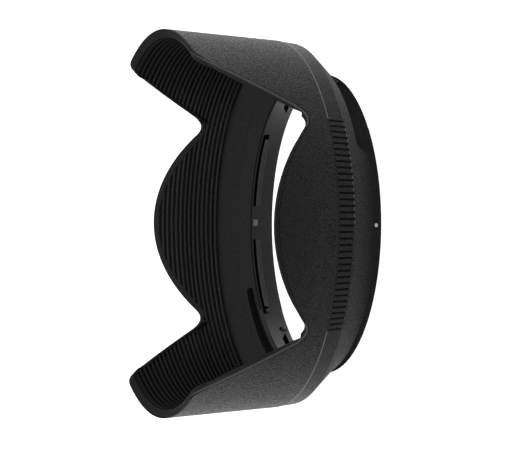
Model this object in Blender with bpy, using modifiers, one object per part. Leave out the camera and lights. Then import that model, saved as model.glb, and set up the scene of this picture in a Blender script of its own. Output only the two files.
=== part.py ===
"""Petal lens hood for a camera lens, as an assembly of its separate pieces.

Units are metres. +Z is the optical axis, towards the subject. The origin is the
centre of the rear rim. The long petals point along +Y and -Y, the short ones
along +X and -X, and the index dot is at +X.
"""

import math

import bmesh
import bpy
from mathutils import Matrix, Vector

# Driving dimensions of the hood
FRONT_R = 0.05406          # outside, at the tips of the long petals
FRONT_Z = 0.04929          # overall length
CREASE_R = 0.05171         # outside of the cone where the grip ring begins
CREASE_Z = 0.01608
BAND_REAR_R = 0.05115      # outside of the grip ring at its rear edge
BAND_REAR_Z = 0.01188
WALL = 0.00205             # wall of the petal cone, to the crests of its ribs
COLLAR_R = 0.0425          # outside of the smooth rear collar
BORE_R = 0.04123           # bore that slips over the lens barrel
RING_FRONT_Z = 0.0064      # front edge of the bore
CHAMFER = math.radians(47)  # slope of the rear shoulder, from the radial direction
GAP = 0.0003               # clearance between neighbouring pieces
SEGMENTS = 96              # facets of a full turn

# Petal outline: two pairs of inclined planes and the flat front cut the cone
SHORT_SLOPE, SHORT_REACH, SHORT_Z = 1.382, 0.05297, 0.03394
LONG_SLOPE, LONG_REACH, LONG_Z = 1.789, 0.03381, 0.02864
NOTCH_BLEND = 0.0083       # rounding at the bottom of each notch
TIP_BLEND = 0.0033         # rounding at the corners of the long petals

# Joint between the petal shell and the mount ring, a plain spigot
SPIGOT_R = 0.0452
FUNNEL_TOP_Z = 0.0137      # where the inner funnel meets the petal wall

# Grip ring and its knurls
SEAT_R = 0.0505
KNURLS = 35
KNURL_PITCH = math.radians(1.92)
KNURL_SIDE = 0.00062       # side of the square bar that cuts one V groove

# Click tongues: the strips of the mount ring that flex outwards
SLOT_R = (COLLAR_R, 0.0441)
SLOT_ARC = (math.radians(28), math.radians(67))
TONGUE_ARC = (math.radians(38.3), math.radians(66.7))
RELIEF_Z = 0.0057          # front wall of the relief outside each tongue
FOOT = 0.00015             # the tongues stay clear of what the hood stands on

# Bayonet features inside the mount ring
LUG_ARC = (math.radians(7), math.radians(37.5))
LUG_Z = (0.0038, 0.0054)
LUG_SLOT_Z = (0.00545, 0.00615)
LUG_RISE = 0.00025
CHANNEL_ARC = (math.radians(52), math.radians(128))
CHANNEL_Z = (0.0017, 0.0033)
CHANNEL_DEPTH = 0.0007
NUBS = ((math.radians(39.6), 0.005), (math.radians(49.7), 0.0016))  # angle, height
NUB_R = 0.0008
NUB_RISE = 0.0004

# Index dot on the collar
DOT_R = 0.0006
DOT_Z = 0.00165
DOT_DEPTH = 0.0003

TAPER = (FRONT_R - CREASE_R) / (FRONT_Z - CREASE_Z)
HALF_TURN = math.pi


def clear_scene():
    for obj in list(bpy.data.objects):
        bpy.data.objects.remove(obj, do_unlink=True)


def new_collection(name):
    made = bpy.data.collections.new(name)
    bpy.context.scene.collection.children.link(made)
    return made


def plastic(name, colour, roughness):
    material = bpy.data.materials.new(name)
    material.use_nodes = True
    shader = material.node_tree.nodes["Principled BSDF"]
    shader.inputs["Base Color"].default_value = (*colour, 1.0)
    shader.inputs["Roughness"].default_value = roughness
    shader.inputs["Metallic"].default_value = 0.0
    return material


def add_object(name, mesh, collection):
    obj = bpy.data.objects.new(name, mesh)
    collection.objects.link(obj)
    return obj


def object_from_bmesh(name, bm, collection):
    bmesh.ops.recalc_face_normals(bm, faces=bm.faces[:])
    mesh = bpy.data.meshes.new(name)
    bm.to_mesh(mesh)
    bm.free()
    return add_object(name, mesh, collection)


def cone_radius(height):
    """Outside radius of the petal cone at a height."""
    return CREASE_R + TAPER * (height - CREASE_Z)


def shoulder_z(radius):
    """Height of the rear shoulder at a radius."""
    return BAND_REAR_Z - (BAND_REAR_R - radius) * math.tan(CHAMFER)


def funnel_z(radius):
    """Height of the inner funnel at a radius."""
    inner_top = cone_radius(FUNNEL_TOP_Z) - WALL
    rise = (FUNNEL_TOP_Z - RING_FRONT_Z) / (inner_top - BORE_R)
    return RING_FRONT_Z + (radius - BORE_R) * rise


def turned(name, outline, collection):
    """A closed (radius, height) outline turned about Z, outer side listed downwards."""
    points = [(radius, 0.0, height) for radius, height in outline]
    edges = [(i, (i + 1) % len(points)) for i in range(len(points))]
    mesh = bpy.data.meshes.new(name)
    mesh.from_pydata(points, edges, [])
    obj = add_object(name, mesh, collection)
    screw = obj.modifiers.new("turn", "SCREW")
    screw.axis = "Z"
    screw.steps = SEGMENTS
    screw.render_steps = SEGMENTS
    screw.use_merge_vertices = True
    screw.merge_threshold = 0.00001
    return obj


def add_sector(bm, outline, start, end):
    """Adds a (radius, height) outline swept about Z from one angle to another."""
    verts = [
        bm.verts.new((radius * math.cos(start), radius * math.sin(start), height))
        for radius, height in outline
    ]
    face = bm.faces.new(verts)
    steps = max(2, round(math.degrees(end - start) / 3.75))
    bmesh.ops.spin(
        bm,
        geom=[face, *face.edges, *face.verts],
        axis=(0, 0, 1),
        cent=(0, 0, 0),
        angle=end - start,
        steps=steps,
        use_duplicate=False,
    )


def box_outline(inner, outer, low, high):
    return [(inner, low), (outer, low), (outer, high), (inner, high)]


def sectors(name, outline, arcs, collection):
    bm = bmesh.new()
    for start, end in arcs:
        add_sector(bm, outline, start, end)
    return object_from_bmesh(name, bm, collection)


def radial_drum(bm, radius, inner, outer, angle, height, sides):
    """Adds a short cylinder whose axis is radial, between two distances from Z."""
    turn = Matrix.Rotation(angle, 4, "Z")
    place = turn @ Matrix.Translation(((inner + outer) / 2, 0, height))
    lay = Matrix.Rotation(math.pi / 2, 4, "Y")
    bmesh.ops.create_cone(
        bm,
        cap_ends=True,
        segments=sides,
        radius1=radius,
        radius2=radius,
        depth=outer - inner,
        matrix=place @ lay,
    )


def upright_drum(bm, radius, angle, distance, low, high):
    """Adds a cylinder parallel to Z at a distance and an angle from it."""
    centre = Vector((distance * math.cos(angle), distance * math.sin(angle), (low + high) / 2))
    bmesh.ops.create_cone(
        bm,
        cap_ends=True,
        segments=16,
        radius1=radius,
        radius2=radius,
        depth=high - low,
        matrix=Matrix.Translation(centre),
    )


def boolean(obj, operation, other):
    modifier = obj.modifiers.new(other.name, "BOOLEAN")
    modifier.operation = operation
    modifier.solver = "EXACT"
    modifier.object = other


def hide(obj):
    obj.hide_render = True
    obj.display_type = "WIRE"


def blend_max(first, second, width):
    """The larger value, rounded where the two are within a width of each other."""
    near = max(width - abs(first - second), 0.0) / width
    return max(first, second) + near * near * width / 4


def plane_height(slope, reach, height, along):
    """Where the cone meets a plane that rises with distance along X or Y."""
    apex = CREASE_R - TAPER * CREASE_Z
    return (height + slope * (along * apex - reach)) / (1 - slope * along * TAPER)


def edge_height(angle):
    """Height of the petal edge at an angle round the hood."""
    short = plane_height(SHORT_SLOPE, SHORT_REACH, SHORT_Z, abs(math.cos(angle)))
    long = plane_height(LONG_SLOPE, LONG_REACH, LONG_Z, abs(math.sin(angle)))
    long = -blend_max(-long, -FRONT_Z, TIP_BLEND)
    return blend_max(short, long, NOTCH_BLEND)


def petal_cutter(collection):
    """The space in front of the petal edge, as a ring with a wavy lower face."""
    inner, outer, top = 0.03, 0.07, 0.06
    count = 2 * SEGMENTS
    bm = bmesh.new()
    rings = []
    for step in range(count):
        angle = 2 * math.pi * (step + 0.5) / count
        low = edge_height(angle)
        corners = box_outline(inner, outer, low, top)
        rings.append(
            [bm.verts.new((r * math.cos(angle), r * math.sin(angle), z)) for r, z in corners]
        )
    for step in range(count):
        here, there = rings[step], rings[(step + 1) % count]
        for side in range(4):
            following = (side + 1) % 4
            bm.faces.new((here[side], here[following], there[following], there[side]))
    return object_from_bmesh("petal_cutter", bm, collection)


def make_petal_shell(parts, cutters, material):
    """Grained shell: petal cone, seat for the grip ring, and rear shoulder."""
    above = FRONT_Z + 0.002
    spigot_bore = SPIGOT_R + GAP
    outline = [
        (cone_radius(above), above),
        (cone_radius(CREASE_Z) + 0.0001, CREASE_Z + 0.0002),
        (SEAT_R, CREASE_Z + 0.0002),
        (SEAT_R, shoulder_z(SEAT_R)),
        (spigot_bore, shoulder_z(spigot_bore)),
        (spigot_bore, funnel_z(spigot_bore)),
        (cone_radius(FUNNEL_TOP_Z) - WALL, FUNNEL_TOP_Z),
        (cone_radius(above) - WALL, above),
    ]
    shell = turned("petal_shell", outline, parts)
    cutter = petal_cutter(cutters)
    boolean(shell, "DIFFERENCE", cutter)
    shell.data.materials.append(material)
    return shell


def knurl_cutter(collection):
    """V grooves of both grip panels, square bars laid along the band's slope."""
    bm = bmesh.new()
    length = 0.005
    middle_r = (BAND_REAR_R + CREASE_R) / 2
    middle_z = (BAND_REAR_Z + CREASE_Z) / 2 - 0.0006
    lean = math.atan2(CREASE_R - BAND_REAR_R, CREASE_Z - BAND_REAR_Z)
    for side in (0.0, HALF_TURN):
        for index in range(KNURLS):
            angle = side + (index - (KNURLS - 1) / 2) * KNURL_PITCH
            place = (
                Matrix.Rotation(angle, 4, "Z")
                @ Matrix.Translation((middle_r, 0, middle_z))
                @ Matrix.Rotation(lean, 4, "Y")
                @ Matrix.Rotation(math.pi / 4, 4, "Z")
                @ Matrix.Diagonal((KNURL_SIDE, KNURL_SIDE, length, 1))
            )
            bmesh.ops.create_cube(bm, size=1.0, matrix=place)
    return object_from_bmesh("knurl_cutter", bm, collection)


def make_grip_ring(parts, cutters, material):
    """Smooth band that slides onto its seat from the rear, knurled on two sides."""
    bore = SEAT_R + GAP
    outline = [
        (CREASE_R, CREASE_Z - GAP),
        (BAND_REAR_R, BAND_REAR_Z),
        (bore, shoulder_z(bore)),
        (bore, CREASE_Z - GAP),
    ]
    ring = turned("grip_ring", outline, parts)
    boolean(ring, "DIFFERENCE", knurl_cutter(cutters))
    ring.data.materials.append(material)
    return ring


def fillet(count):
    """Concave curve from the rear shoulder down to the collar, as (radius, height)."""
    start = Vector((SPIGOT_R, shoulder_z(SPIGOT_R)))
    corner = Vector((COLLAR_R, shoulder_z(COLLAR_R)))
    end = Vector((COLLAR_R, 0.001))
    points = []
    for index in range(count + 1):
        t = index / count
        point = start * (1 - t) ** 2 + corner * 2 * t * (1 - t) + end * t * t
        points.append((point.x, point.y))
    return points


def mirrored_arcs(arc):
    """The arc and its copy on the opposite side of the hood."""
    start, end = arc
    return [(start, end), (start + HALF_TURN, end + HALF_TURN)]


def slot_cutter(collection):
    """Through slots outside the tongues, with round ends, and the relief behind them."""
    middle = sum(SLOT_R) / 2
    half = (SLOT_R[1] - SLOT_R[0]) / 2
    inset = half / middle
    bm = bmesh.new()
    for start, end in mirrored_arcs(SLOT_ARC):
        outline = box_outline(SLOT_R[0], SLOT_R[1], -0.001, 0.012)
        add_sector(bm, outline, start + inset, end - inset)
    slots = object_from_bmesh("slot_cutter", bm, collection)
    bm = bmesh.new()
    for start, end in mirrored_arcs(SLOT_ARC):
        for angle in (start + inset, end - inset):
            upright_drum(bm, half * 0.999, angle, middle, -0.0012, 0.0122)
    ends = object_from_bmesh("slot_ends", bm, collection)
    relief = sectors(
        "relief_cutter",
        box_outline(COLLAR_R, 0.047, -0.001, RELIEF_Z),
        mirrored_arcs(SLOT_ARC),
        collection,
    )
    return slots, ends, relief


def channel_cutter(collection):
    """Bayonet channels in the bore, each with a slanted lead-in at both ends."""
    low, high = CHANNEL_Z
    deep = BORE_R + CHANNEL_DEPTH
    clear = BORE_R - 0.002
    count = 24
    bm = bmesh.new()
    for start, end in mirrored_arcs(CHANNEL_ARC):
        rings = []
        for step in range(count + 1):
            angle = start + (end - start) * step / count
            lead = min(angle - start, end - angle) / math.radians(7)
            top = low + (high - low) * (0.1 + 0.9 * min(lead, 1.0))
            corners = box_outline(clear, deep, low, top)
            rings.append(
                [bm.verts.new((r * math.cos(angle), r * math.sin(angle), z)) for r, z in corners]
            )
        for here, there in zip(rings, rings[1:]):
            for side in range(4):
                following = (side + 1) % 4
                bm.faces.new((here[side], here[following], there[following], there[side]))
        bm.faces.new(rings[0])
        bm.faces.new(rings[-1])
    return object_from_bmesh("channel_cutter", bm, collection)


def lug_arcs():
    """The four lugs: one each side of +X and of -X."""
    low, high = LUG_ARC
    arcs = []
    for middle in (0.0, HALF_TURN):
        arcs.append((middle + low, middle + high))
        arcs.append((middle - high, middle - low))
    return arcs


def make_mount_ring(parts, cutters, channels, material):
    """Smooth rear collar with the bayonet features in its bore."""
    edge = 0.00015
    outline = [
        (SPIGOT_R, funnel_z(SPIGOT_R)),
        *fillet(6),
        (COLLAR_R, edge),
        (COLLAR_R - edge, 0.0),
        (BORE_R + edge, 0.0),
        (BORE_R, edge),
        (BORE_R, RING_FRONT_Z - edge),
        (BORE_R + edge, funnel_z(BORE_R + edge)),
    ]
    ring = turned("mount_ring", outline, parts)
    lugs = sectors(
        "lug_block",
        box_outline(BORE_R - LUG_RISE, BORE_R + GAP, *LUG_Z),
        lug_arcs(),
        cutters,
    )
    boolean(ring, "UNION", lugs)
    keys = sectors(
        "key_block",
        box_outline(BORE_R - LUG_RISE, BORE_R + GAP, 0.0048, 0.0061),
        mirrored_arcs((-math.radians(1.3), math.radians(1.3))),
        cutters,
    )
    boolean(ring, "UNION", keys)
    lug_slots = sectors(
        "lug_slot_cutter",
        box_outline(BORE_R - 0.001, COLLAR_R - 0.0004, *LUG_SLOT_Z),
        lug_arcs(),
        cutters,
    )
    boolean(ring, "DIFFERENCE", lug_slots)
    for cutter in (channels, *slot_cutter(cutters)):
        boolean(ring, "DIFFERENCE", cutter)
    play = GAP / BORE_R
    start, end = TONGUE_ARC
    window = sectors(
        "tongue_window_cutter",
        box_outline(BORE_R - 0.002, sum(SLOT_R) / 2, -0.0015, 0.0095),
        mirrored_arcs((start - play, end + play)),
        cutters,
    )
    boolean(ring, "DIFFERENCE", window)
    bm = bmesh.new()
    radial_drum(bm, DOT_R + 0.0001, COLLAR_R - DOT_DEPTH - 0.0001, COLLAR_R + 0.001, 0.0, DOT_Z, 20)
    pocket = object_from_bmesh("dot_pocket_cutter", bm, cutters)
    boolean(ring, "DIFFERENCE", pocket)
    ring.data.materials.append(material)
    return ring


def make_tongue(name, middle_turn, parts, cutters, channels, material):
    """A flexing strip of the bore with its click nubs; it slides outwards."""
    start, end = TONGUE_ARC
    bm = bmesh.new()
    outline = [
        (BORE_R, FOOT),
        (COLLAR_R - 0.00002, FOOT),
        (COLLAR_R - 0.00002, funnel_z(COLLAR_R)),
        (BORE_R, RING_FRONT_Z),
    ]
    add_sector(bm, outline, start + middle_turn, end + middle_turn)
    tongue = object_from_bmesh(name, bm, parts)
    bm = bmesh.new()
    for angle, height in NUBS:
        radial_drum(bm, NUB_R, BORE_R - NUB_RISE, BORE_R + 0.0004, angle + middle_turn, height, 16)
    nubs = object_from_bmesh(name + "_nubs", bm, cutters)
    boolean(tongue, "UNION", nubs)
    boolean(tongue, "DIFFERENCE", channels)
    tongue.data.materials.append(material)
    return tongue


def make_index_dot(parts, material):
    bm = bmesh.new()
    radial_drum(bm, DOT_R, COLLAR_R - DOT_DEPTH, COLLAR_R - 0.00003, 0.0, DOT_Z, 20)
    dot = object_from_bmesh("index_dot", bm, parts)
    dot.data.materials.append(material)
    return dot


def main():
    clear_scene()
    parts = new_collection("lens_hood")
    cutters = new_collection("cutters")
    grained = plastic("grained_black", (0.03, 0.03, 0.031), 0.6)
    satin = plastic("satin_black", (0.022, 0.022, 0.023), 0.5)
    smooth = plastic("smooth_black", (0.016, 0.016, 0.017), 0.42)
    white = plastic("index_white", (0.85, 0.85, 0.83), 0.5)
    channels = channel_cutter(cutters)
    make_petal_shell(parts, cutters, grained)
    make_grip_ring(parts, cutters, satin)
    make_mount_ring(parts, cutters, channels, smooth)
    make_tongue("click_tongue_near", 0.0, parts, cutters, channels, smooth)
    make_tongue("click_tongue_far", HALF_TURN, parts, cutters, channels, smooth)
    make_index_dot(parts, white)
    for cutter in cutters.objects:
        hide(cutter)
    for part in parts.objects:
        part.data.shade_smooth()


main()
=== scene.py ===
"""Looks of the petal lens hood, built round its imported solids.

Metres, in the frame of the solids: +Z is the optical axis, the rear rim lies in the
plane z = 0, the long petals point along +Y and -Y, and the index dot is at +X.
"""

import math

import bmesh
import bpy
import numpy as np
from mathutils import Matrix, Vector


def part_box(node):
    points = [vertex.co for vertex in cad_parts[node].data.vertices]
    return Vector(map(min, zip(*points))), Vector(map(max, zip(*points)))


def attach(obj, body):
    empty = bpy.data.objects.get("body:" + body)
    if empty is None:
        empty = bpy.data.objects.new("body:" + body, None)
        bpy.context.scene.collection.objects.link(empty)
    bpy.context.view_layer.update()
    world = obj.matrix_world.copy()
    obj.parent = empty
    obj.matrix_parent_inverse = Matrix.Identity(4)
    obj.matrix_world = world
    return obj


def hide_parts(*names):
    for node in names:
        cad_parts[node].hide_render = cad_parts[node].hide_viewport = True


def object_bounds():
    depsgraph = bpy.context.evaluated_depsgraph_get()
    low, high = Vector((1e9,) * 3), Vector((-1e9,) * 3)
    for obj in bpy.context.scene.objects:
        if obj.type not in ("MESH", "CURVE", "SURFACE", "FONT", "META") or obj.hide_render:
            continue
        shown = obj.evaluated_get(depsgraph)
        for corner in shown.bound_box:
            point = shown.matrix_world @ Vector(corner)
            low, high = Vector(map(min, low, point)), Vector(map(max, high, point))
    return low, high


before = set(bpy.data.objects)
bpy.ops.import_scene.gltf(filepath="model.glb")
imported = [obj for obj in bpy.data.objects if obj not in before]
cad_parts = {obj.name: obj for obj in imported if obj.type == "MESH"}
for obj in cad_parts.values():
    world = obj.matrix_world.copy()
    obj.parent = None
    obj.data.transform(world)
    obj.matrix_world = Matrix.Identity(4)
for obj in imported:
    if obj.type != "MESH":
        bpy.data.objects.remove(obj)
cad_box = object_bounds()

MM = 0.001

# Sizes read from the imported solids
shell_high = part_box("petal_shell")[1]
band_low, band_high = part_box("grip_ring")
ring_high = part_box("mount_ring")[1]
dot_low, dot_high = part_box("index_dot")
tongue_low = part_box("click_tongue_near")[0]
FRONT_R = shell_high.y
FRONT_Z = shell_high.z
CREASE_R = band_high.y
CREASE_Z = band_high.z + 0.3 * MM
BAND_REAR_Z = band_low.z
SPIGOT_R = ring_high.y
COLLAR_R = dot_high.x + 0.03 * MM
DOT_R = (dot_high.z - dot_low.z) / 2
DOT_Z = (dot_high.z + dot_low.z) / 2
FOOT = tongue_low.z

# Sizes of the design that the boxes do not give
WALL = 2.05 * MM            # petal wall, to the crests of its ribs
WALL_EXTRA = 0.75 * MM      # how much thicker it is half way up
WALL_SWELL = (22 * MM, 27 * MM)     # heights between which it thickens
WALL_EASE = (40 * MM, 46 * MM)      # heights between which it thins again
TIP_EXTRA = 0.5             # share of the extra left at the tips
BAND_REAR_R = 51.15 * MM
SEAT_R = 50.5 * MM
BORE_R = 41.23 * MM
RING_FRONT_Z = 6.4 * MM
FUNNEL_TOP_Z = 13.7 * MM
CHAMFER = math.radians(47)  # slope of the rear shoulder, from the radial direction
PROUD = 0.1 * MM            # step at the crease, from the cone down to the band
CREASE_ROUND = 0.3 * MM
SEAM = 0.02 * MM            # what is left open of the joints between pieces
TAPER = (FRONT_R - CREASE_R) / (FRONT_Z - CREASE_Z)

# Petal outline: two pairs of inclined planes and the flat front cut the cone
SHORT_SLOPE, SHORT_REACH, SHORT_Z = 1.382, 0.05297, 0.03394
LONG_SLOPE, LONG_REACH, LONG_Z = 1.789, 0.03381, 0.02864
NOTCH_BLEND = 8.3 * MM      # rounding at the bottom of each notch
TIP_BLEND = 3.3 * MM        # rounding at the corners of the long petals

# Rim of the petals in mm: (distance in from the outside, distance below the edge)
RIM_GROOVE = [(0.00, 0.90), (0.00, 0.76), (0.17, 0.70), (0.17, 0.60)]
RIM_LIP = [(0.00, 0.54), (0.00, 0.36), (0.03, 0.21), (0.10, 0.09), (0.22, 0.02)]
RIM_FACE = [(0.40, 0.00), (0.58, 0.00), (1.10, 0.02), (1.60, 0.04), (1.90, 0.05)]
RIM_INSIDE = [(2.02, 0.12), (2.05, 0.30)]
RIM_SLANT = 2.3             # how much lower the inner edge is where the edge climbs
LEAN_SLOPES = (0.6, 1.2)    # slopes of the edge between which the rim starts to lean
TIP_LEAN = 0.55             # share of the lean along the tips
TIP_RISE = (40 * MM, 44 * MM)   # heights of the edge between which that sets in
FLANK_LEAN = 0.7            # share of the lean from which the rim is a flank's
TIP_CORNER = 2 * MM         # depth of the tips' corners, which are not a flank's

# Ribs inside the petals
RIB_PITCH = 1.369 * MM
FIRST_GROOVE_Z = 14.65 * MM
RIBS = 25
RIB_DEPTH = 0.95 * MM
RIB_MARGIN = 0.8 * MM       # plain strip between the rim and the ribs
RIB_SHAPE = [
    (0.00, 1.00), (0.16, 0.92), (0.27, 0.20), (0.41, 0.00),
    (0.59, 0.00), (0.73, 0.20), (0.84, 0.92),
]
RIB_CREST = (3, 4, 5)       # points of the shape that end a strip of the crest
LIP_HIGHLIGHT = (math.radians(30), math.radians(60))    # turns from +X where the lip has its painted highlight
LIP_TAPER = math.radians(1.2)   # how much sooner each strip of it ends than the next one in
FAR_SIDE = math.radians(84)     # turn from +X where the far side's plastics, with their painted shade, start

# Knurled panels of the grip ring
KNURLS = 35
KNURL_PITCH = math.radians(1.92)
KNURL_WIDTH = 0.54 * MM     # width of one groove
KNURL_EDGE = 0.12 * MM      # width of each of its side walls
KNURL_DEPTH = 0.36 * MM
KNURL_STEPS = 16            # columns of the mesh in one pitch
REAR_FACE_ROWS = 2          # rows of the ring that continue the grained shoulder

# Features of the mount ring, as arcs from the +X direction
SLOT_R = (COLLAR_R, 44.1 * MM)
SLOT_ARC = (math.radians(26.8), math.radians(67))
TONGUE_ARC = (math.radians(38.3), math.radians(66.7))
RELIEF_R = (COLLAR_R - 0.03 * MM, 47 * MM)
RELIEF_Z = 5.7 * MM         # front of the relief at the slot
RELIEF_SLOPE = 0.43         # rise of its front from there outwards
RELIEF_ROUND = 0.9 * MM     # rounding of the relief's front corners
SMOOTH_R = 42.75 * MM       # where the fillet becomes as smooth as the collar
LUG_ARC = (math.radians(7), math.radians(37.5))
LUG_Z = (3.8 * MM, 5.4 * MM)
LUG_SLOT_Z = (5.45 * MM, 6.25 * MM)
LUG_RISE = 0.25 * MM
CHANNEL_ARC = (math.radians(52), math.radians(128))
CHANNEL_Z = (1.7 * MM, 3.3 * MM)
CHANNEL_DEPTH = 0.95 * MM
CHANNEL_LEAD = math.radians(3.5)
KEY_ARC = math.radians(1.3)
KEY_Z = (4.8 * MM, 6.1 * MM)
NUBS = ((math.radians(39.6), 5.0 * MM), (math.radians(49.7), 1.6 * MM))
NUB_R = 0.8 * MM
NUB_RISE = 0.4 * MM
NUB_POCKET = 0.6            # how far ahead of each nub its pocket lies, in nub radii
FUNNEL_ROWS = 6             # rows of the ring that continue the shell's funnel

# Camera and stage
CAMERA_TARGET = Vector((0, -0.342 * MM, 17.636 * MM))
CAMERA_DISTANCE = 657.2 * MM
CAMERA_ELEVATION = math.radians(20.338)
CAMERA_AZIMUTH = math.radians(0.482)
CAMERA_ROLL = math.radians(0.255)
CAMERA_LENS = 157.8
FLOOR_HALF = 3.0

GRAIN_STRETCH = (0.45, 1.0, 1.0)    # flow of the grain in the mould

# Painted light and shade over the hood, as factors of the plastics' colour
ASIDE = (26 * MM, 48 * MM)  # distances to the side between which the next four set in
RIB_FADE = 0.45             # crests of the ribs
VALLEY_FADE = 0.2           # between the ribs
COLLAR_FADE = 0.35
SHOULDER_SIDES = 0.6
SHOULDER_FADE = (0.4, 1.7)  # the shoulder at the collar and at the band
CONE_FADE = 0.55            # the short petals at their edge
CONE_RISE = (17 * MM, 32 * MM)      # heights between which that sets in
CONE_SIDES = 1.6            # the long petals
CONE_ASIDE = (26 * MM, 46 * MM)     # distances to the side between which that sets in

# Strength of the soft light by direction
LIGHT_FRONT = 0.40          # low, from the camera's side
LIGHT_BACK = 1.85           # low, from behind and both sides
LIGHT_BELOW = 0.42
LIGHT_HIGH_FRONT = 0.62
LIGHT_HIGH_BACK = 0.14
LIGHT_OVERHEAD = 0.40

# Order of the plastics on every piece
(
    GRAINED, SATIN, SMOOTH, RECESS_SHADE, BORE, MATTE, EDGE_HIGHLIGHT, PAINTED_GLINT, RIB_HIGHLIGHT, DEEP_SHADE, FUNNEL, SHOULDER,
    VALLEY_SHADE,
) = range(13)


# ---------------------------------------------------------------- shapes

def eased(value, span):
    """Goes smoothly from 0 to 1 as the value goes through the span."""
    share = np.clip((value - span[0]) / (span[1] - span[0]), 0, 1)
    return share * share * (3 - 2 * share)


def blend_max(first, second, width):
    """The larger value, rounded where the two are within a width of each other."""
    near = np.maximum(width - np.abs(first - second), 0.0) / width
    return np.maximum(first, second) + near * near * width / 4


def plane_height(slope, reach, height, along):
    """Height at which an inclined plane cuts the cone, at a cosine of the angle."""
    apex = CREASE_R - TAPER * CREASE_Z
    return (height + slope * (along * apex - reach)) / (1 - slope * along * TAPER)


def edge_height(angle):
    """Height of the petals' edge round the hood."""
    short = plane_height(SHORT_SLOPE, SHORT_REACH, SHORT_Z, np.abs(np.cos(angle)))
    long = plane_height(LONG_SLOPE, LONG_REACH, LONG_Z, np.abs(np.sin(angle)))
    long = -blend_max(-long, -FRONT_Z, TIP_BLEND)
    return blend_max(short, long, NOTCH_BLEND)


def cone_radius(height):
    """Outside of the petals: from the tips down to a small step at the crease."""
    below = (FRONT_Z - height) / (FRONT_Z - CREASE_Z)
    return CREASE_R + TAPER * (height - CREASE_Z) + PROUD * below


def wall_at(height):
    """Thickness of the petal wall at a height, to the crests of its ribs."""
    swell = eased(height, WALL_SWELL) - eased(height, WALL_EASE) * (1 - TIP_EXTRA)
    return WALL + WALL_EXTRA * swell


def band_radius(height):
    """Outside of the grip band at a height."""
    rise = (CREASE_R - BAND_REAR_R) / (CREASE_Z - BAND_REAR_Z)
    return BAND_REAR_R + rise * (height - BAND_REAR_Z)


def shoulder_z(radius):
    """Height of the rear shoulder at a radius."""
    return BAND_REAR_Z - (BAND_REAR_R - radius) * math.tan(CHAMFER)


def relief_top(inside):
    """Height of a relief's front, this far in from its rounded end."""
    corner = np.clip(RELIEF_ROUND - inside, 0, RELIEF_ROUND)
    return RELIEF_Z - RELIEF_ROUND + np.sqrt(RELIEF_ROUND ** 2 - corner ** 2)


def relief_floor(angles, radius):
    """Height up to which the reliefs cut away the shoulder, at each angle."""
    start, end = SLOT_ARC
    turn = angles % math.pi
    inside = np.minimum(turn - start, end - turn) * sum(SLOT_R) / 2
    return np.where(inside > 0, relief_top(inside) + (radius - SLOT_R[1]) * RELIEF_SLOPE, 0.0)


def funnel_z(radius):
    """Height of the inner funnel at a radius."""
    inner_top = cone_radius(FUNNEL_TOP_Z) - WALL
    rise = (FUNNEL_TOP_Z - RING_FRONT_Z) / (inner_top - BORE_R)
    return RING_FRONT_Z + (radius - BORE_R) * rise


def between(start, end, count):
    """Evenly spaced values after the start, up to and with the end."""
    return [start + (end - start) * (i + 1) / count for i in range(count)]


def columns(spans):
    """Angles round the whole hood, from (end in degrees, step in degrees) spans."""
    angles = []
    at = 0.0
    for end, step in spans:
        count = max(1, round((end - at) / step))
        angles += [at + (end - at) * i / count for i in range(count)]
        at = end
    return np.radians(np.array(angles))


# ---------------------------------------------------------------- mesh helpers

def add_piece(name, mesh, materials=()):
    for material in materials:
        mesh.materials.append(material)
    piece = bpy.data.objects.new(name, mesh)
    bpy.context.scene.collection.objects.link(piece)
    return piece


def tidy_mesh(mesh, merge):
    """Welds points that fell together and drops the faces they closed."""
    bm = bmesh.new()
    bm.from_mesh(mesh)
    bmesh.ops.remove_doubles(bm, verts=bm.verts[:], dist=merge)
    bmesh.ops.dissolve_degenerate(bm, edges=bm.edges[:], dist=merge / 2)
    bm.to_mesh(mesh)
    bm.free()


def turned(name, angles, profile, finish, materials):
    """A closed skin: the (radius, height) profile at each angle round the hood.

    A radius or a height is one number or an array with a value for each angle. The
    profile runs up the outside, over the top and down the inside. finish holds the
    material of the strip after each point, for all angles or for each of them.
    """
    count, rows = len(angles), len(profile)
    radius = np.stack([np.broadcast_to(r, count) for r, _ in profile], axis=1)
    height = np.stack([np.broadcast_to(z, count) for _, z in profile], axis=1)
    points = np.empty((count, rows, 3))
    points[:, :, 0] = radius * np.cos(angles)[:, None]
    points[:, :, 1] = radius * np.sin(angles)[:, None]
    points[:, :, 2] = height
    here = np.arange(count * rows).reshape(count, rows)
    beside = np.roll(here, -1, axis=0)
    above = np.roll(here, -1, axis=1)
    across = np.roll(beside, -1, axis=1)
    faces = np.stack([here, beside, across, above], axis=2).reshape(-1, 4)
    mesh = bpy.data.meshes.new(name)
    mesh.from_pydata(points.reshape(-1, 3), [], faces.tolist())
    marks = np.broadcast_to(finish, (count, rows)).reshape(-1)
    mesh.polygons.foreach_set("material_index", marks.astype(np.int32))
    tidy_mesh(mesh, 0.002 * MM)
    return add_piece(name, mesh, materials)


def loft(name, rings, materials=(), finish=0):
    """A solid through rings of (x, y, z) points, closed by a face at both ends."""
    bm = bmesh.new()
    made = [[bm.verts.new(point) for point in ring] for ring in rings]
    sides = len(rings[0])
    for one, other in zip(made, made[1:]):
        for side in range(sides):
            following = (side + 1) % sides
            bm.faces.new((one[side], one[following], other[following], other[side]))
    bm.faces.new(made[0])
    bm.faces.new(made[-1])
    bmesh.ops.recalc_face_normals(bm, faces=bm.faces[:])
    mesh = bpy.data.meshes.new(name)
    bm.to_mesh(mesh)
    bm.free()
    mesh.polygons.foreach_set("material_index", np.full(len(mesh.polygons), finish, np.int32))
    return add_piece(name, mesh, materials)


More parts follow.
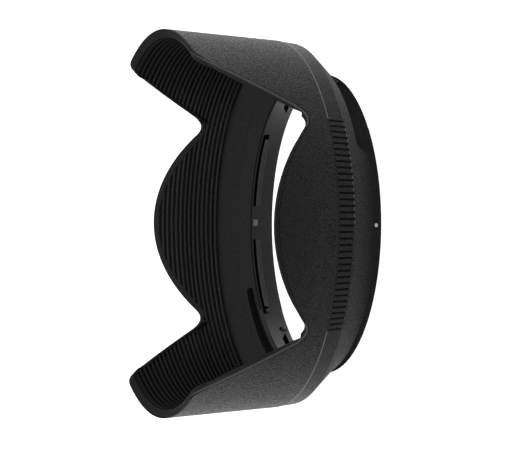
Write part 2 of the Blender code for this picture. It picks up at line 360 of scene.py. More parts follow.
def swept(name, outline, start, end, plastics, finish):
    """A (radius, height) outline swept about Z between two angles.

    The outline is a list of points, or a function that gives it at an angle. finish is
    the place of its plastic in the list.
    """
    steps = max(2, round(math.degrees(end - start) * 2))
    rings = []
    for step in range(steps + 1):
        angle = start + (end - start) * step / steps
        corners = outline(angle) if callable(outline) else outline
        rings.append([(r * math.cos(angle), r * math.sin(angle), z) for r, z in corners])
    return loft(name, rings, plastics, finish)


def box_outline(inner, outer, low, high):
    """A rectangle between two radii and two heights."""
    return [(inner, low), (outer, low), (outer, high), (inner, high)]


def mark(piece, chosen, finish):
    """Gives the faces whose centre is chosen another of the piece's plastics."""
    for face in piece.data.polygons:
        if chosen(face.center):
            face.material_index = finish


def carve(piece, operation, cutters):
    """Cuts the cutters out of a piece, or joins them to it, and removes them."""
    for cutter in cutters:
        modifier = piece.modifiers.new(cutter.name, "BOOLEAN")
        modifier.operation = operation
        modifier.solver = "EXACT"
        modifier.object = cutter
    graph = bpy.context.evaluated_depsgraph_get()
    carved = bpy.data.meshes.new_from_object(piece.evaluated_get(graph))
    piece.modifiers.clear()
    piece.data = carved
    for cutter in cutters:
        bpy.data.objects.remove(cutter)


def finish_piece(piece, body, node, crisp):
    """Shading, and the tie to the frame."""
    piece.data.shade_smooth()
    piece.data.set_sharp_from_angle(angle=math.radians(crisp))
    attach(piece, body)
    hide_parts(node)


# ---------------------------------------------------------------- pieces

def rib_rows(limit):
    """Points of the ribbed wall from the front to the rear, cut off at the limit.

    Gives the points and the finish of the strip after each of them.
    """
    rows = []
    finish = []
    for rib in reversed(range(RIBS)):
        for index, (share, depth) in reversed(list(enumerate(RIB_SHAPE))):
            at = FIRST_GROOVE_Z + (rib + share) * RIB_PITCH
            height = np.minimum(at, limit)
            cut = np.where(at < limit, depth * RIB_DEPTH, 0.0)
            rows.append((cone_radius(height) - wall_at(height) + cut, height))
            # Crests get a plastic with a painted highlight, the valleys one with painted shade
            finish.append(RIB_HIGHLIGHT if index in RIB_CREST else VALLEY_SHADE)
    return rows, finish


def make_petal_shell(plastics):
    """Petals with their rim, the ribs inside, the seat, the shoulder and the funnel."""
    quadrant = [(20, 0.5), (60, 0.25), (120, 0.5), (160, 0.25), (200, 0.5)]
    spans = quadrant + [(240, 0.25), (300, 0.5), (340, 0.25), (360, 0.5)]
    angles = columns(spans)
    edge = edge_height(angles)
    small = 1e-4
    climb = (edge_height(angles + small) - edge_height(angles - small)) / (2 * small)
    slant = np.sqrt(1 + (climb / FRONT_R) ** 2)
    shoulder_start = SPIGOT_R + 0.001 * MM
    radii = [shoulder_start] + between(shoulder_start, shoulder_start + 1.5 * MM, 8)
    radii += between(radii[-1], SEAT_R, 5)
    profile = [(r, np.maximum(shoulder_z(r), relief_floor(angles, r))) for r in radii]
    profile += [(SEAT_R, CREASE_Z - 0.5 * MM)]
    profile += [(SEAT_R, CREASE_Z)]
    rear = cone_radius(CREASE_Z)
    start = CREASE_Z + CREASE_ROUND
    for turn in (0.0, 0.25, 0.5, 0.75):
        inward = CREASE_ROUND * (1 - math.sin(turn * math.pi / 2)) * 0.7
        above = CREASE_ROUND * (1 - math.cos(turn * math.pi / 2))
        profile.append((rear - inward, CREASE_Z + above))
    top = edge - RIM_GROOVE[0][1] * MM * slant
    for share in (0, 0.15, 0.3, 0.45, 0.6, 0.75, 0.9):
        height = start + (top - start) * share
        profile.append((cone_radius(height), height))
    finish = [SHOULDER] * len(radii) + [GRAINED] * (len(profile) - len(radii))
    for inward, below in RIM_GROOVE + RIM_LIP:
        height = edge - below * MM * slant
        profile.append((cone_radius(height) - inward * MM, height))
    lip = len(finish) + len(RIM_GROOVE)
    face = lip + len(RIM_LIP)
    # The face leans inwards on the flanks and the tips of the long petals
    tip_lean = np.interp(edge, TIP_RISE, (0, TIP_LEAN))
    lean = np.maximum(eased(np.abs(climb) / FRONT_R, LEAN_SLOPES), tip_lean) * RIM_SLANT
    depth = wall_at(edge) / WALL
    first, last = RIM_FACE[0][0], RIM_INSIDE[-1][0]
    for inward, below in RIM_FACE + RIM_INSIDE:
        share = (inward - first) / (last - first)
        height = edge - (below * slant + lean * share) * MM
        reach = first + (last * depth - first) * share
        profile.append((cone_radius(height) - reach * MM, height))
    # The rim's groove and the corner inside its face get painted shade, its lip a painted highlight,
    # and its inside painted deep shade
    finish += [GRAINED] + [RECESS_SHADE] * (len(RIM_GROOVE) - 1) + [EDGE_HIGHLIGHT] * len(RIM_LIP)
    finish += [MATTE] * (len(RIM_FACE) - 1) + [RECESS_SHADE] + [DEEP_SHADE] * len(RIM_INSIDE)
    limit = edge - lean * MM - RIB_MARGIN * slant
    profile.append((cone_radius(limit) - wall_at(limit), limit))
    # The margin below the rim gets painted deep shade
    finish.append(DEEP_SHADE)
    ribs, rib_finish = rib_rows(limit)
    profile += ribs
    finish += rib_finish
    inner_top = cone_radius(FUNNEL_TOP_Z) - WALL
    top = FIRST_GROOVE_Z - RIB_PITCH * 0.36
    profile.append((cone_radius(top) - WALL, top))
    profile += [(r, funnel_z(r)) for r in between(inner_top + 0.4 * MM, inner_top, 1)]
    profile += [(r, funnel_z(r)) for r in between(inner_top, shoulder_start, 6)]
    finish += [FUNNEL] * (len(profile) - len(finish))
    finish = np.tile(finish, (len(angles), 1))
    paint_rim_light_and_shade(finish, angles, edge, lean, lip)
    return turned("petal_shell_look", angles, profile, finish, plastics)


def paint_rim_light_and_shade(finish, angles, edge, lean, lip):
    """Sets the plastics of the rim round the hood, with their painted highlight and painted shade. The
    strips of its lip start at lip.
    """
    turn = np.abs((angles + math.pi) % (2 * math.pi) - math.pi)
    far = turn > FAR_SIDE
    face = lip + len(RIM_LIP)
    inside = face + len(RIM_FACE) - 1
    margin = face + len(RIM_FACE) + len(RIM_INSIDE)
    # The lip keeps its painted highlight only on the flanks beside the dot's petal
    for row in range(lip, face):
        finish[turn > LIP_HIGHLIGHT[1] - LIP_TAPER * (face - row), row] = MATTE
    # Round the far side the lip gets painted shade on the long petals, whose flanks get a
    # face of painted deep shade too, and on the short one it is plain like the face
    flank = (lean > FLANK_LEAN * RIM_SLANT) & (edge < FRONT_Z - TIP_CORNER)
    finish[far, lip:face] = RECESS_SHADE
    finish[far & flank, face:margin] = DEEP_SHADE
    short = far & (edge < TIP_RISE[0]) & ~flank
    finish[short, lip:inside] = MATTE
    finish[short, inside:margin] = FUNNEL
    # The dot's petal is grained right up to a fine line of painted shade
    finish[turn < LIP_HIGHLIGHT[0], lip - len(RIM_GROOVE):face - 2] = GRAINED
    finish[turn < LIP_HIGHLIGHT[0], face - 2:face] = RECESS_SHADE


def knurl_amount(angles):
    """How far each angle is in the knurled panels, and in a groove of them."""
    turn = (angles + math.pi / 2) % math.pi - math.pi / 2
    place = turn / KNURL_PITCH
    inside = np.clip((KNURLS / 2 - 0.2 - np.abs(place)) * 16 + 1, 0, 1)
    offset = np.abs(place - np.round(place)) * KNURL_PITCH * CREASE_R
    groove = np.clip((KNURL_WIDTH / 2 - offset) / KNURL_EDGE + 0.5, 0, 1)
    nearest = np.abs(np.round(place)) <= (KNURLS - 1) / 2
    groove = groove * groove * (3 - 2 * groove) * nearest
    return inside, groove


def make_grip_ring(plastics):
    """Smooth band with a knurled panel at +X and at -X."""
    panel = math.degrees(KNURL_PITCH) * (KNURLS + 1) / 2
    fine = math.degrees(KNURL_PITCH) / KNURL_STEPS
    spans = [(panel, fine), (180 - panel, 1), (180 + panel, fine), (360 - panel, 1), (360, fine)]
    angles = columns(spans)
    inside, groove = knurl_amount(angles)
    rear_end = REAR_FACE_ROWS + 1
    floor_r = BAND_REAR_R - KNURL_DEPTH
    bore = SEAT_R + SEAM
    profile = [(bore, shoulder_z(bore)), (floor_r - 0.05 * MM, shoulder_z(floor_r - 0.05 * MM))]
    profile.append((floor_r, shoulder_z(floor_r)))
    # Rear end: (plain radius, height of a rib's round end above the groove's foot)
    foot = shoulder_z(floor_r)
    for share in (0.25, 0.5, 0.75, 1.0):
        plain_r = floor_r + (BAND_REAR_R - floor_r) * share
        turn = share * math.pi / 2
        rib_r = floor_r + (KNURL_DEPTH + 0.02 * MM) * math.sin(turn)
        rib_z = foot + 0.40 * MM * (1 - math.cos(turn))
        groove_z = foot + 0.42 * MM * share
        raised_r = rib_r * (1 - groove) + floor_r * groove
        raised_z = rib_z * (1 - groove) + groove_z * groove
        radius = plain_r * (1 - inside) + raised_r * inside
        height = shoulder_z(plain_r) * (1 - inside) + raised_z * inside
        profile.append((radius, height))
    side_start = len(profile)
    front = CREASE_Z - 0.29 * MM
    for height in between(BAND_REAR_Z + 0.3 * MM, front - 0.15 * MM, 8):
        profile.append((band_radius(height) - groove * inside * KNURL_DEPTH, height))
    profile.append((band_radius(front) - groove * inside * KNURL_DEPTH * 0.9, front))
    bead = len(profile)
    profile.append((CREASE_R + 0.02 * MM, CREASE_Z - 0.25 * MM))
    profile.append((CREASE_R + 0.01 * MM, CREASE_Z - 0.06 * MM))
    profile.append((CREASE_R - 0.12 * MM, CREASE_Z - SEAM))
    profile.append((bore, CREASE_Z - SEAM))
    finish = np.full((len(angles), len(profile)), SATIN)
    finish[:, :REAR_FACE_ROWS] = SHOULDER
    cut = (groove > 0.4) & (np.roll(groove, -1) > 0.4) & (inside > 0.5)
    plain = inside < 0.9
    # The knurl's grooves get painted deep shade
    finish[cut, rear_end:bead] = DEEP_SHADE
    # The middle of each rib's rear end gets a painted glint; on the plain band the rear edge gets a
    # painted highlight and the crease bead a painted glint
    phase = angles / KNURL_PITCH
    middle = np.abs(phase - np.round(phase)) > 0.3
    finish[middle & ~plain, side_start - 2:side_start - 1] = PAINTED_GLINT
    finish[plain, side_start - 2:side_start - 1] = EDGE_HIGHLIGHT
    finish[plain, bead - 1:bead + 2] = PAINTED_GLINT
    return turned("grip_ring_look", angles, profile, finish, plastics)


def ring_front(outer):
    """Front of the mount ring from a radius inwards: funnel, fine groove and round lip."""
    groove_r = BORE_R + 0.32 * MM
    rows = [(r, funnel_z(r)) for r in between(outer, groove_r + 0.16 * MM, FUNNEL_ROWS)]
    rows.append((groove_r + 0.06 * MM, funnel_z(groove_r) - 0.10 * MM))
    rows.append((groove_r - 0.03 * MM, funnel_z(groove_r) - 0.10 * MM))
    rows.append((groove_r - 0.10 * MM, funnel_z(groove_r - 0.10 * MM)))
    lip = 0.18 * MM
    top = funnel_z(BORE_R + lip)
    rows.append((BORE_R + lip, top))
    for turn in (0.3, 0.6, 0.9, 1.2, math.pi / 2):
        out = lip * (1 - math.sin(turn))
        down = lip * (1 - math.cos(turn))
        rows.append((BORE_R + out, top - down))
    return rows


def fillet(count):
    """Concave curve from the collar up to the rear shoulder."""
    start = Vector((COLLAR_R, 1.0 * MM))
    corner = Vector((COLLAR_R, shoulder_z(COLLAR_R)))
    end = Vector((SPIGOT_R, shoulder_z(SPIGOT_R)))
    points = []
    for index in range(count + 1):
        t = index / count
        point = start * (1 - t) ** 2 + corner * 2 * t * (1 - t) + end * t * t
        points.append((point.x, point.y))
    return points


def fillet_radius(height):
    """Outside of the mount ring at a height."""
    points = fillet(40)
    return float(np.interp(height, [z for _, z in points], [r for r, _ in points]))


def both_sides(arc):
    """The arc, and its copy on the opposite side of the hood."""
    start, end = arc
    return [(start, end), (start + math.pi, end + math.pi)]


def channel_outline(start, end):
    """Outline of a bayonet channel at an angle, slanted at both of its ends."""
    low, high = CHANNEL_Z

    def outline(angle):
        lead = min(angle - start, end - angle) / CHANNEL_LEAD
        top = low + (high - low) * (0.05 + 0.95 * min(max(lead, 0.0), 1.0))
        return box_outline(BORE_R - 2 * MM, BORE_R + CHANNEL_DEPTH, low, top)

    return outline


def channel_cutters(plastics):
    return [
        # The channel's walls get painted shade
        swept("channel", channel_outline(start, end), start, end, plastics, RECESS_SHADE)
        for start, end in both_sides(CHANNEL_ARC)
    ]


def slot_cutters(plastics):
    """Through slots outside the tongues, with round ends, and the relief behind them."""
    middle = sum(SLOT_R) / 2
    half = (SLOT_R[1] - SLOT_R[0]) / 2
    cutters = []
    for start, end in both_sides(SLOT_ARC):
        def slot(angle, start=start, end=end):
            inside = min(angle - start, end - angle) * middle
            reach = math.sqrt(max(half ** 2 - max(half - inside, 0.0) ** 2, 1e-12))
            return box_outline(middle - reach, middle + reach, RELIEF_Z - 1 * MM, 12 * MM)

        def relief(angle, start=start, end=end):
            inside = min(angle - start, end - angle) * middle
            inner, outer = RELIEF_R
            top = float(relief_top(inside))
            rise = (outer - SLOT_R[1]) * RELIEF_SLOPE
            return [
                (inner, -1.3 * MM), (outer, -1.3 * MM),
                (outer, top + rise), (SLOT_R[1], top), (inner, top),
            ]

        # The slot's walls get painted deep shade
        cutters.append(swept("slot", slot, start + 0.002, end - 0.002, plastics, DEEP_SHADE))
        cutters.append(swept("relief", relief, start, end, plastics, SMOOTH))
    return cutters


def lug_arcs():
    """The four lugs: one each side of +X and of -X."""
    low, high = LUG_ARC
    arcs = []
    for middle in (0.0, math.pi):
        arcs.append((middle + low, middle + high, 1))
        arcs.append((middle - high, middle - low, -1))
    return arcs


def make_mount_ring(plastics):
    """Smooth collar outside, bayonet features inside."""
    edge = 0.25 * MM
    profile = [(BORE_R + edge, 0.0), (COLLAR_R - edge, 0.0)]
    profile += [(COLLAR_R - 0.07 * MM, 0.07 * MM), (COLLAR_R, edge)]
    profile += fillet(14)
    fillet_start = sum(radius < SMOOTH_R for radius, _ in profile)
    funnel_start = len(profile)
    profile.append((SPIGOT_R, funnel_z(SPIGOT_R)))
    profile += ring_front(SPIGOT_R)
    profile += [(BORE_R, z) for z in between(5.6 * MM, edge, 4)]
    profile.append((BORE_R + 0.07 * MM, 0.07 * MM))
    finish = np.full(len(profile), BORE)
    finish[:fillet_start] = SMOOTH
    finish[fillet_start:funnel_start] = SHOULDER
    finish[funnel_start:funnel_start + FUNNEL_ROWS] = FUNNEL
    lip_start = funnel_start + FUNNEL_ROWS
    # The fine groove behind the ring's lip gets painted deep shade
    finish[lip_start:lip_start + 3] = DEEP_SHADE
    finish[lip_start + 3:lip_start + 8] = FUNNEL
    ring = turned("mount_ring_look", columns([(360, 0.75)]), profile, finish, plastics)
    joined = []
    # The lugs get a painted highlight
    for start, end, _ in lug_arcs():
        crest = BORE_R - LUG_RISE
        line = sum(LUG_Z) / 2 - 0.1 * MM
        lug = [
            (BORE_R + 0.3 * MM, LUG_Z[0] - 0.1 * MM), (BORE_R + 0.3 * MM, LUG_Z[1]),
            (crest, LUG_Z[1]), (crest, line + 0.1 * MM), (crest + 0.12 * MM, line + 0.04 * MM),
            (crest + 0.12 * MM, line - 0.04 * MM), (crest, line - 0.1 * MM),
            (crest, LUG_Z[0] + 0.12 * MM),
        ]
        joined.append(swept("lug", lug, start, end, plastics, EDGE_HIGHLIGHT))
    # The keys get a painted glint
    for middle in (0.0, math.pi):
        key = [
            (BORE_R + 0.3 * MM, KEY_Z[0]), (BORE_R + 0.3 * MM, KEY_Z[1]),
            (BORE_R - 0.1 * MM, KEY_Z[1]), (BORE_R - 0.35 * MM, KEY_Z[0]),
        ]
        joined.append(swept("key", key, middle - KEY_ARC, middle + KEY_ARC, plastics, PAINTED_GLINT))
    carve(ring, "UNION", joined)
    cut = channel_cutters(plastics) + slot_cutters(plastics)
    for start, end, side in lug_arcs():
        deep = COLLAR_R - 0.4 * MM
        slot = box_outline(BORE_R - 1 * MM, deep, *LUG_SLOT_Z)
        # The lug slots and their hooks get painted shade
        cut.append(swept("lug_slot", slot, start, end, plastics, RECESS_SHADE))
        outer = end if side > 0 else start
        foot = 0.035 * side
        low, high = sorted((outer - 0.004 * side, outer + foot))
        hook = box_outline(BORE_R - 1 * MM, deep, LUG_Z[1] - 0.9 * MM, LUG_SLOT_Z[1] + 0.02 * MM)
        cut.append(swept("lug_hook", hook, low, high, plastics, RECESS_SHADE))
    start, end = TONGUE_ARC
    play = SEAM / BORE_R
    for turn in (0.0, math.pi):
        window = box_outline(BORE_R - 2 * MM, sum(SLOT_R) / 2, -1.5 * MM, 9.5 * MM)
        side = (start - play + turn, end + play + turn)
        cut.append(swept("window", window, *side, plastics, MATTE))
    carve(ring, "DIFFERENCE", cut)
    return ring


def nub_distance(angle, height, nub, ahead=0.0):
    """Square of the distance from a nub, or from a point ahead of it, in nub radii."""
    across = (angle - nub[0]) * BORE_R / NUB_R
    along = (height - nub[1]) / NUB_R - ahead
    return across ** 2 + along ** 2


def make_tongue(name, turn, plastics):
    """Strip of the bore that flexes outwards, with its two click nubs."""
    start, end = TONGUE_ARC
    count = 116
    outer = COLLAR_R - SEAM
    heights = between(5.7 * MM, FOOT + 0.25 * MM, 26)
    rings = []
    for step in range(count + 1):
        angle = start + (end - start) * step / count
        corners = [(outer, FOOT), (outer, funnel_z(outer))] + ring_front(outer)
        for height in heights:
            radius = BORE_R
            for nub in NUBS:
                near = nub_distance(angle, height, nub)
                if near < 1:
                    radius -= NUB_RISE * math.sqrt(1 - near)
                elif nub_distance(angle, height, nub, NUB_POCKET) < 1.3:
                    radius += 0.35 * MM
            corners.append((radius, height))
        corners.append((BORE_R + 0.1 * MM, FOOT))
        place = angle + turn
        rings.append([(r * math.cos(place), r * math.sin(place), z) for r, z in corners])
    tongue = loft(name, rings, plastics, BORE)

    def outside(centre):
        return centre.xy.length > BORE_R + 0.9 * MM

    def in_pocket(centre):
        angle = math.atan2(centre.y, centre.x) % math.pi
        return centre.xy.length < BORE_R + 0.9 * MM and any(
            nub_distance(angle, centre.z, nub) > 0.95
            and nub_distance(angle, centre.z, nub, NUB_POCKET) < 1.35
            for nub in NUBS
        )

    mark(tongue, outside, SMOOTH)
    # The pockets ahead of the nubs get painted shade
    mark(tongue, in_pocket, RECESS_SHADE)
    carve(tongue, "DIFFERENCE", channel_cutters(plastics))
    return tongue


def make_index_dot(paint):
    """Drop of white paint that fills a dimple in the collar."""
    sides = 40
    outline = [(1.0, -0.25), (1.0, 0.0), (0.96, 0.03), (0.85, 0.05), (0.6, 0.06), (0.3, 0.065)]
    rings = []
    for share, rise in outline:
        ring = []
        for side in range(sides):
            angle = 2 * math.pi * side / sides
            ripple = 1 + 0.015 * math.sin(3 * angle + 0.6) + 0.01 * math.sin(7 * angle)
            radius = DOT_R * 0.92 * share * ripple
            height = DOT_Z + radius * math.sin(angle)
            ring.append((fillet_radius(height) + rise * MM, radius * math.cos(angle), height))
        rings.append(ring)
    return loft("index_dot_look", rings, [paint])


# ---------------------------------------------------------------- materials

def node(tree, kind, **settings):
    """A node with its settings and, for names of sockets, their values."""
    made = tree.nodes.new(kind)
    for name, value in settings.items():
        if hasattr(made, name):
            setattr(made, name, value)
        else:
            made.inputs[name.replace("_", " ")].default_value = value
    return made


def mapped(tree, source, low, high, start=0.0, end=1.0, kind="LINEAR"):
    """A value brought from the range start..end to the range low..high."""
    made = node(tree, "ShaderNodeMapRange", interpolation_type=kind)
    made.inputs["From Min"].default_value = start
    made.inputs["From Max"].default_value = end
    made.inputs["To Min"].default_value = low
    made.inputs["To Max"].default_value = high
    tree.links.new(source, made.inputs["Value"])
    return made.outputs["Result"]


def smooth_step(tree, source, low, high, start, end):
    """A value that goes smoothly from low to high as the source goes from start to end."""
    return mapped(tree, source, low, high, start, end, "SMOOTHSTEP")


def feed(tree, socket, value):
    """Sets a socket to a number, or links the output of another node to it."""
    if isinstance(value, (int, float)):
        socket.default_value = value
    else:
        tree.links.new(value, socket)


def product(tree, first, second, operation="MULTIPLY"):
    """The product of two values or sockets, or another operation on them."""
    made = node(tree, "ShaderNodeMath", operation=operation)
    feed(tree, made.inputs[0], first)
    feed(tree, made.inputs[1], second)
    return made.outputs["Value"]


def distance(tree, x, y):
    """Distance from the axis."""
    square = product(tree, product(tree, x, x), product(tree, y, y), "ADD")
    return product(tree, square, 0.5, "POWER")


def mixed(tree, first, second, share):
    """The first value, going over into the second as the share goes from 0 to 1."""
    made = node(tree, "ShaderNodeMix", data_type="FLOAT")
    feed(tree, made.inputs["A"], first)
    feed(tree, made.inputs["B"], second)
    tree.links.new(share, made.inputs["Factor"])
    return made.outputs["Result"]


def noise(tree, place, scale, detail=2.0, roughness=0.5):
    made = node(tree, "ShaderNodeTexNoise", Scale=scale, Detail=detail, Roughness=roughness)
    tree.links.new(place, made.inputs["Vector"])
    return made.outputs["Fac"]


def painted_shade_sideways(share):
    """Painted shade: darker towards the long petals, down to this share of the colour."""
    def factor(tree, x, y, z):
        aside = product(tree, y, 0.0, "ABSOLUTE")
        return smooth_step(tree, aside, 1.0, share, *ASIDE)

    return factor


def painted_shade_inwards(tree, x, y, z):
    """Painted light and shade: lighter at the band, darker down to the collar."""
    inwards = mapped(tree, distance(tree, x, y), *SHOULDER_FADE, COLLAR_R, BAND_REAR_R)
    return product(tree, inwards, painted_shade_sideways(SHOULDER_SIDES)(tree, x, y, z))


def painted_light_and_shade_forwards(tree, x, y, z):
    """Painted shade towards the short petals' edge, and painted light on the long petals."""
    forwards = smooth_step(tree, z, 1.0, CONE_FADE, *CONE_RISE)
    aside = product(tree, y, 0.0, "ABSOLUTE")
    return mixed(tree, forwards, CONE_SIDES, smooth_step(tree, aside, 0.0, 1.0, *CONE_ASIDE))


def plastic(name, dark, light, rough, specular, grain, grain_size, fade=None):
    """Moulded black plastic.

    dark and light are the ends of its grey, rough those of its roughness. grain is the
    height of the moulded grain and grain_size its width. fade takes the tree and a
    place on the hood and gives a factor of the colour there, which paints light and shade.
    """
    material = bpy.data.materials.new(name)
    material.use_nodes = True
    tree = material.node_tree
    shader = tree.nodes["Principled BSDF"]
    shader.inputs["Specular IOR Level"].default_value = specular
    flow = node(tree, "ShaderNodeMapping", Scale=GRAIN_STRETCH)
    spot = node(tree, "ShaderNodeTexCoord").outputs["Object"]
    tree.links.new(spot, flow.inputs["Vector"])
    place = flow.outputs["Vector"]
    fine = noise(tree, place, 1 / grain_size, 2.0, 0.6)
    cells = node(tree, "ShaderNodeTexVoronoi", Scale=1.3 / grain_size)
    tree.links.new(place, cells.inputs["Vector"])
    broad = noise(tree, place, 90.0, 3.0, 0.55)
    height = product(tree, fine, product(tree, cells.outputs["Distance"], 0.2), "ADD")
    bump = node(tree, "ShaderNodeBump", Strength=1.0, Distance=grain)
    tree.links.new(height, bump.inputs["Height"])
    tree.links.new(bump.outputs["Normal"], shader.inputs["Normal"])
    speckle = mapped(tree, fine, 0.0, 0.9, 0.36, 0.64)
    blotch = product(tree, speckle, mapped(tree, broad, 0.0, 0.1), "ADD")
    ramp = node(tree, "ShaderNodeMix", data_type="RGBA")
    ramp.inputs["A"].default_value = (dark, dark, dark, 1.0)
    ramp.inputs["B"].default_value = (light, light, light * 1.02, 1.0)
    tree.links.new(blotch, ramp.inputs["Factor"])
    colour = ramp.outputs["Result"]
    if fade:
        split = node(tree, "ShaderNodeSeparateXYZ")
        tree.links.new(spot, split.inputs["Vector"])
        scaled = node(tree, "ShaderNodeVectorMath", operation="SCALE")
        tree.links.new(colour, scaled.inputs[0])
        tree.links.new(fade(tree, *split.outputs), scaled.inputs["Scale"])
        colour = scaled.outputs["Vector"]
    tree.links.new(colour, shader.inputs["Base Color"])
    tree.links.new(mapped(tree, blotch, *rough), shader.inputs["Roughness"])
    return material


def make_plastics():
    """The plastics, in the order of GRAINED, SATIN and so on."""
    return [
        # Painted light on the long petals and painted shade towards the short petals' edge
        plastic(
            "grained_black_plastic", 0.003, 0.044, (0.62, 0.42), 0.32, 0.80 * MM, 0.38 * MM,
            painted_light_and_shade_forwards,
        ),
        plastic("satin_black_plastic", 0.009, 0.037, (0.58, 0.42), 0.25, 0.30 * MM, 0.38 * MM),
        # Painted shade darkens the collar towards the long petals
        plastic(
            "smooth_black_plastic", 0.020, 0.031, (0.60, 0.70), 0.0, 0.02 * MM, 0.5 * MM,
            painted_shade_sideways(COLLAR_FADE),
        ),
        # Painted shade for grooves, channels and pockets
        plastic("black_plastic_with_painted_shade_in_recesses", 0.003, 0.007, (0.70, 0.85), 0.0, 0.04 * MM, 0.4 * MM),
        plastic("polished_black_plastic", 0.028, 0.046, (0.34, 0.46), 0.35, 0.02 * MM, 0.5 * MM),
        plastic("matte_black_plastic", 0.012, 0.022, (0.60, 0.75), 0.15, 0.08 * MM, 0.42 * MM),
        # Painted highlight on the lips, edges and lugs
        plastic("black_plastic_with_painted_edge_highlight", 0.055, 0.085, (0.36, 0.50), 0.30, 0.02 * MM, 0.5 * MM),
        # Painted glint on the crease, the rear ends of the knurls and the keys
        plastic("black_plastic_with_painted_glint", 0.19, 0.27, (0.36, 0.50), 0.40, 0.02 * MM, 0.5 * MM),
        # Painted highlight on the ribs' crests, with painted shade towards the long petals
        plastic(
            "black_plastic_with_painted_highlight_on_ribs", 0.042, 0.070, (0.65, 0.80), 0.0, 0.05 * MM, 0.42 * MM,
            painted_shade_sideways(RIB_FADE),
        ),
        # Painted deep shade for slots, grooves and the far flanks
        plastic("black_plastic_with_painted_deep_shade", 0.009, 0.016, (0.65, 0.80), 0.03, 0.05 * MM, 0.42 * MM),
        plastic("black_plastic_in_the_funnel", 0.020, 0.037, (0.60, 0.75), 0.20, 0.08 * MM, 0.42 * MM),
        # Painted light near the band, painted shade towards the collar and the sides
        plastic(
            "grained_black_plastic_on_the_shoulder", 0.006, 0.040, (0.62, 0.46), 0.20,
            0.50 * MM, 0.38 * MM, painted_shade_inwards,
        ),
        # Painted shade between the ribs, darker towards the long petals
        plastic(
            "black_plastic_with_painted_shade_between_ribs", 0.020, 0.037, (0.60, 0.75), 0.10, 0.08 * MM, 0.42 * MM,
            painted_shade_sideways(VALLEY_FADE),
        ),
    ]


def index_paint():
    material = bpy.data.materials.new("white_index_paint")
    material.use_nodes = True
    tree = material.node_tree
    shader = tree.nodes["Principled BSDF"]
    place = node(tree, "ShaderNodeTexCoord").outputs["Object"]
    mottle = noise(tree, place, 2600.0, 2.0)
    ramp = node(tree, "ShaderNodeMix", data_type="RGBA")
    ramp.inputs["A"].default_value = (0.62, 0.62, 0.6, 1.0)
    ramp.inputs["B"].default_value = (0.9, 0.9, 0.88, 1.0)
    tree.links.new(mottle, ramp.inputs["Factor"])
    tree.links.new(ramp.outputs["Result"], shader.inputs["Base Color"])
    bump = node(tree, "ShaderNodeBump", Strength=0.6, Distance=0.01 * MM)
    tree.links.new(mottle, bump.inputs["Height"])
    tree.links.new(bump.outputs["Normal"], shader.inputs["Normal"])
    tree.links.new(mapped(tree, mottle, 0.4, 0.6), shader.inputs["Roughness"])
    return material


# ---------------------------------------------------------------- stage

def make_floor():
    """Plain pale floor under the rear rim, which lights nothing itself."""
    bm = bmesh.new()
    corners = [(-1, -1), (1, -1), (1, 1), (-1, 1)]
    bm.faces.new([bm.verts.new((x * FLOOR_HALF, y * FLOOR_HALF, 0)) for x, y in corners])
    mesh = bpy.data.meshes.new("floor")
    bm.to_mesh(mesh)
    bm.free()
    material = bpy.data.materials.new("pale_floor")
    material.use_nodes = True
    shader = material.node_tree.nodes["Principled BSDF"]
    shader.inputs["Base Color"].default_value = (0.8, 0.8, 0.8, 1.0)
    shader.inputs["Roughness"].default_value = 0.9
    shader.inputs["Emission Color"].default_value = (1.0, 1.0, 1.0, 1.0)
    shader.inputs["Emission Strength"].default_value = 1.0
    floor = add_piece("floor", mesh, [material])
    floor.location.z = cad_box[0][2] - 0.05 * MM
    floor.visible_diffuse = False
    floor.visible_glossy = False
    floor.visible_shadow = False


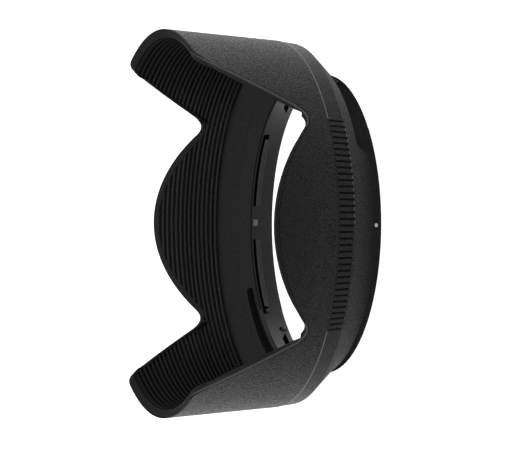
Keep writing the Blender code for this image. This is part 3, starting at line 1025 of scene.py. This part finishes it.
def make_light():
    """Soft light from all round: dim in front, bright from both sides and behind."""
    world = bpy.data.worlds.new("studio")
    bpy.context.scene.world = world
    world.use_nodes = True
    tree = world.node_tree
    sky = tree.nodes["Background"]
    direction = node(tree, "ShaderNodeTexCoord").outputs["Generated"]
    split = node(tree, "ShaderNodeSeparateXYZ")
    tree.links.new(direction, split.inputs["Vector"])
    x, y, z = split.outputs
    # The lower half brightens from the front to the back, and dims straight below
    level = distance(tree, x, y)
    ahead = product(tree, x, product(tree, level, 0.001, "MAXIMUM"), "DIVIDE")
    around = smooth_step(tree, ahead, LIGHT_FRONT, LIGHT_BACK, 0.5, -0.6)
    below = smooth_step(tree, z, 0.0, 1.0, -0.38, -0.74)
    lower = mixed(tree, around, LIGHT_BELOW, below)
    # The upper half is dim behind and brighter overhead and in front
    upper = smooth_step(tree, x, LIGHT_HIGH_BACK, LIGHT_HIGH_FRONT, -0.9, 0.3)
    overhead = smooth_step(tree, z, 0.0, LIGHT_OVERHEAD, 0.5, 1.0)
    upper = product(tree, upper, overhead, "ADD")
    strength = mixed(tree, lower, upper, smooth_step(tree, z, 0.0, 1.0, -0.12, 0.15))
    tree.links.new(strength, sky.inputs["Strength"])
    sky.inputs["Color"].default_value = (1.0, 1.0, 1.0, 1.0)


def make_camera():
    level = math.cos(CAMERA_ELEVATION)
    away = Vector((
        level * math.cos(CAMERA_AZIMUTH),
        level * math.sin(CAMERA_AZIMUTH),
        math.sin(CAMERA_ELEVATION),
    ))
    right = (-away).cross(Vector((0, 1, 0))).normalized()
    up = right.cross(-away)
    across = math.cos(CAMERA_ROLL) * right + math.sin(CAMERA_ROLL) * up
    upright = math.cos(CAMERA_ROLL) * up - math.sin(CAMERA_ROLL) * right
    data = bpy.data.cameras.new("camera")
    data.lens = CAMERA_LENS
    data.sensor_width = 36.0
    data.clip_start = 0.01
    camera = bpy.data.objects.new("camera", data)
    bpy.context.scene.collection.objects.link(camera)
    turn = Matrix((across, upright, away)).transposed().to_4x4()
    camera.matrix_world = Matrix.Translation(CAMERA_TARGET + CAMERA_DISTANCE * away) @ turn
    bpy.context.scene.camera = camera
    bpy.context.scene.view_settings.view_transform = "Standard"


# ---------------------------------------------------------------- main

def main():
    plastics = make_plastics()
    paint = index_paint()
    shell = make_petal_shell(plastics)
    finish_piece(shell, "hood", "petal_shell", 50)
    band = make_grip_ring(plastics)
    finish_piece(band, "hood", "grip_ring", 50)
    ring = make_mount_ring(plastics)
    finish_piece(ring, "hood", "mount_ring", 35)
    near = make_tongue("click_tongue_near_look", 0.0, plastics)
    finish_piece(near, "tongue_near", "click_tongue_near", 40)
    far = make_tongue("click_tongue_far_look", math.pi, plastics)
    finish_piece(far, "tongue_far", "click_tongue_far", 40)
    dot = make_index_dot(paint)
    finish_piece(dot, "hood", "index_dot", 40)
    make_floor()
    make_light()
    make_camera()


main()
